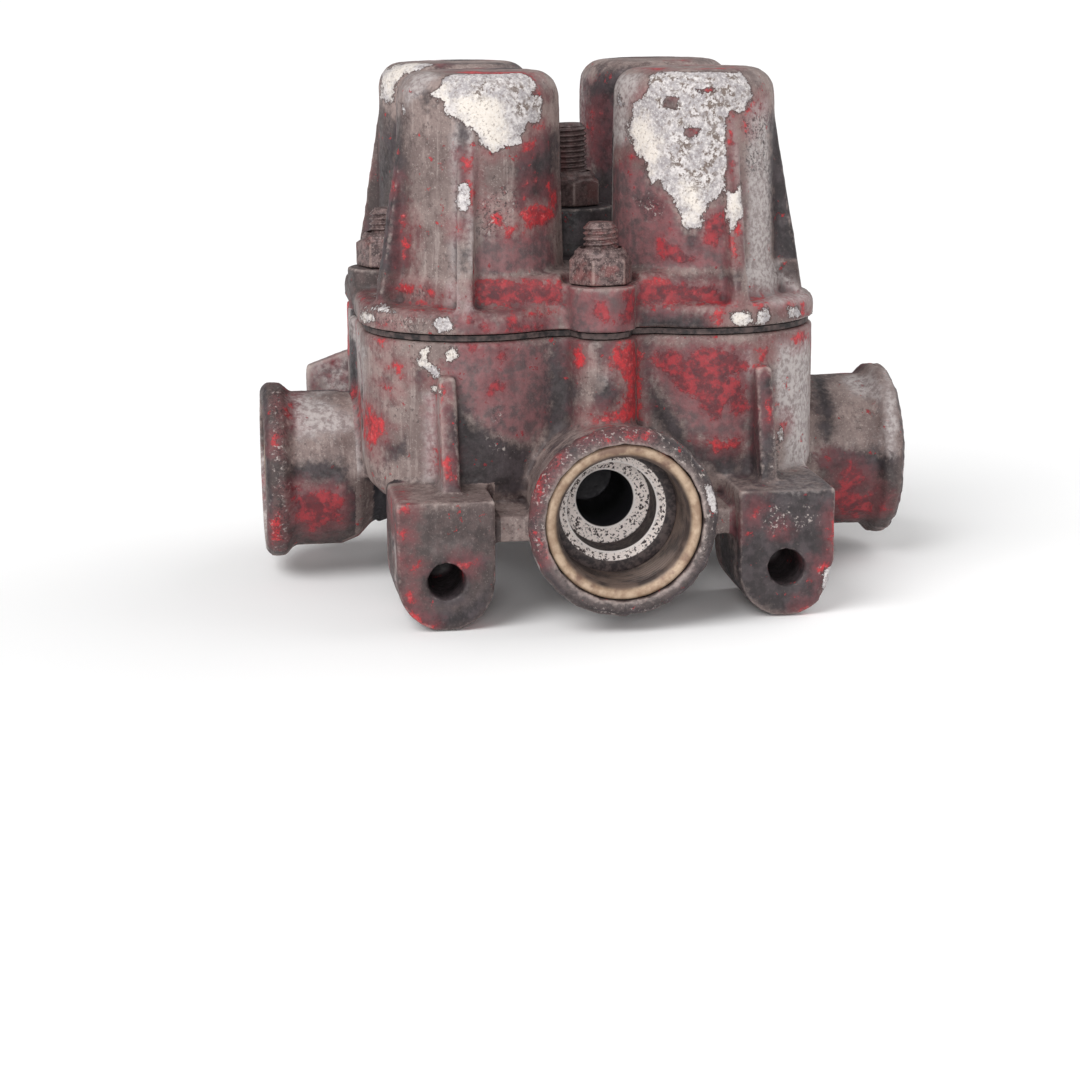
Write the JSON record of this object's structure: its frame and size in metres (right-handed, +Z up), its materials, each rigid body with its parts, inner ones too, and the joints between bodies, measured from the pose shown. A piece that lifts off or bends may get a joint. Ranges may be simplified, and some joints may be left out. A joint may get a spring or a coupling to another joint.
{
  "type": "multi-circuit air protection valve",
  "caption": "Cast valve body with spring domes on a bolted cover, threaded side ports and mounting lugs; sprung diaphragm valves inside each dome.",
  "frame": {"origin": "under the middle of the bounding box, at the level of its lowest point, the bottoms of the two lugs", "axes": "+Z up, along the studs; -Y towards the front port and the faces of the lugs; +X to the right port"},
  "size_m": [0.1562, 0.154, 0.1215],
  "materials": {
    "cover_paint": "matte: cast aluminium with worn red paint under grey-brown grime, and white corrosion where the paint is gone",
    "housing_paint": "matte: cast aluminium with worn red paint under grey-brown grime",
    "gasket": "matt",
    "rusty_steel": "rusty",
    "brass": "dull",
    "spring_steel": "oiled",
    "plate": "turned",
    "rubber": "matt",
    "seat_plastic": "moulded"
  },
  "bodies": {
    "body": {"upper_cover": "cover_paint", "lower_housing": "housing_paint", "joint_gasket": "gasket", "stud_centre": "rusty_steel", "nut_centre": "rusty_steel", "stud_front": "rusty_steel", "nut_front": "rusty_steel", "stud_right": "rusty_steel", "nut_right": "rusty_steel", "stud_rear": "rusty_steel", "nut_rear": "rusty_steel", "stud_left": "rusty_steel", "nut_left": "rusty_steel", "port_bush_front": "brass", "port_bush_right": "brass", "port_bush_rear": "brass", "port_bush_left": "brass", "port_bush_supply": "brass", "diaphragm_front_left": "rubber", "pressure_spring_front_left": "spring_steel", "spring_seat_front_left": "seat_plastic", "diaphragm_front_right": "rubber", "pressure_spring_front_right": "spring_steel", "spring_seat_front_right": "seat_plastic", "diaphragm_rear_right": "rubber", "pressure_spring_rear_right": "spring_steel", "spring_seat_rear_right": "seat_plastic", "diaphragm_rear_left": "rubber", "pressure_spring_rear_left": "spring_steel", "spring_seat_rear_left": "seat_plastic"},
    "valve_front_left": {"diaphragm_plate_front_left": "plate", "valve_head_front_left": "rubber"},
    "valve_front_right": {"diaphragm_plate_front_right": "plate", "valve_head_front_right": "rubber"},
    "valve_rear_right": {"diaphragm_plate_rear_right": "plate", "valve_head_rear_right": "rubber"},
    "valve_rear_left": {"diaphragm_plate_rear_left": "plate", "valve_head_rear_left": "rubber"}
  },
  "joints": [
    {"name": "lift_front_left", "type": "slide", "parent": "body", "child": "valve_front_left", "axis": [0, 0, 1], "range_m": [0, 0.0025], "stiffness_N_per_m": 3000, "springref_m": -0.01, "deforming": ["pressure_spring_front_left", "diaphragm_front_left"]},
    {"name": "lift_front_right", "type": "slide", "parent": "body", "child": "valve_front_right", "axis": [0, 0, 1], "range_m": [0, 0.0025], "stiffness_N_per_m": 3000, "springref_m": -0.01, "deforming": ["pressure_spring_front_right", "diaphragm_front_right"]},
    {"name": "lift_rear_right", "type": "slide", "parent": "body", "child": "valve_rear_right", "axis": [0, 0, 1], "range_m": [0, 0.0025], "stiffness_N_per_m": 3000, "springref_m": -0.01, "deforming": ["pressure_spring_rear_right", "diaphragm_rear_right"]},
    {"name": "lift_rear_left", "type": "slide", "parent": "body", "child": "valve_rear_left", "axis": [0, 0, 1], "range_m": [0, 0.0025], "stiffness_N_per_m": 3000, "springref_m": -0.01, "deforming": ["pressure_spring_rear_left", "diaphragm_rear_left"]}
  ]
}
